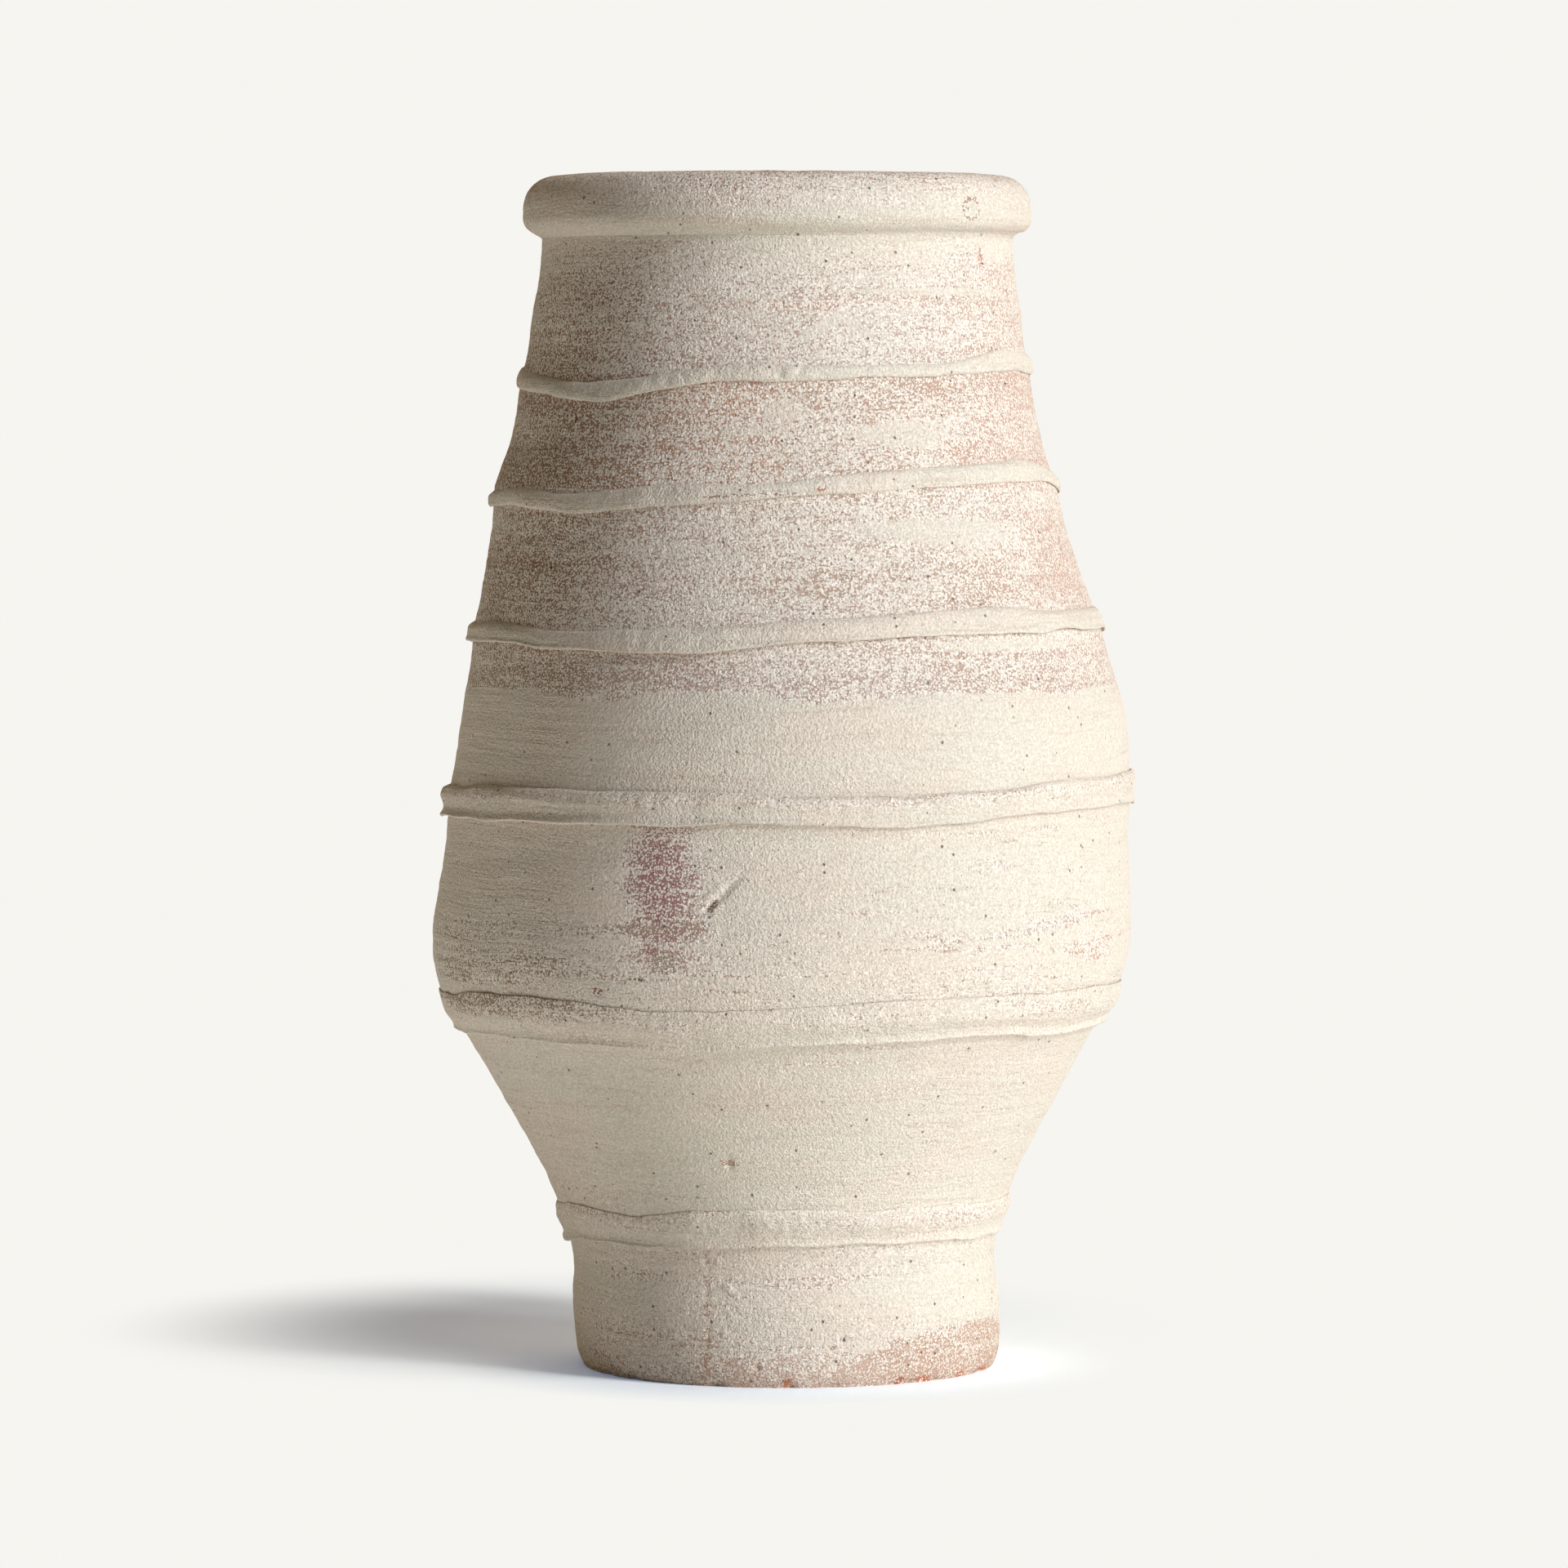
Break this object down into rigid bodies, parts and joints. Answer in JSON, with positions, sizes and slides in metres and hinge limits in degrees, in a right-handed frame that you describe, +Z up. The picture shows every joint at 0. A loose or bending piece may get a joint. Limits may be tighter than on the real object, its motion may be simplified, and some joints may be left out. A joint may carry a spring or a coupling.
{
  "type": "pithos",
  "caption": "Tall hand-built clay storage jar with a thick rolled mouth, a wide belly, pressed clay bands over its joints and a narrow straight foot.",
  "frame": {"origin": "on the ground, under the middle of the jar's outline", "axes": "+Z up the jar, and -Y towards the viewer of the picture"},
  "size_m": [0.5364, 0.532, 0.9],
  "materials": {
    "slipped_wall": "matt fired clay under a thin, uneven, cream slip",
    "pressed_band": "matt cream slip on finger-pressed clay",
    "rolled_rim": "matt cream and tan slip, worn on top",
    "bare_clay": "matt, unslipped, reddish brown fired clay"
  },
  "bodies": {
    "root": {"floor_slab": "bare_clay", "floor_seam_coil": "bare_clay", "foot_wall": "slipped_wall", "foot_band": "pressed_band", "lower_wall": "slipped_wall", "belly_band": "pressed_band", "belly_wall": "slipped_wall", "middle_band": "pressed_band", "shoulder_wall": "slipped_wall", "shoulder_band": "pressed_band", "upper_wall": "slipped_wall", "upper_band": "pressed_band", "collar_wall": "slipped_wall", "collar_band": "pressed_band", "neck_wall": "slipped_wall", "rim_roll": "rolled_rim"}
  },
  "joints": []
}
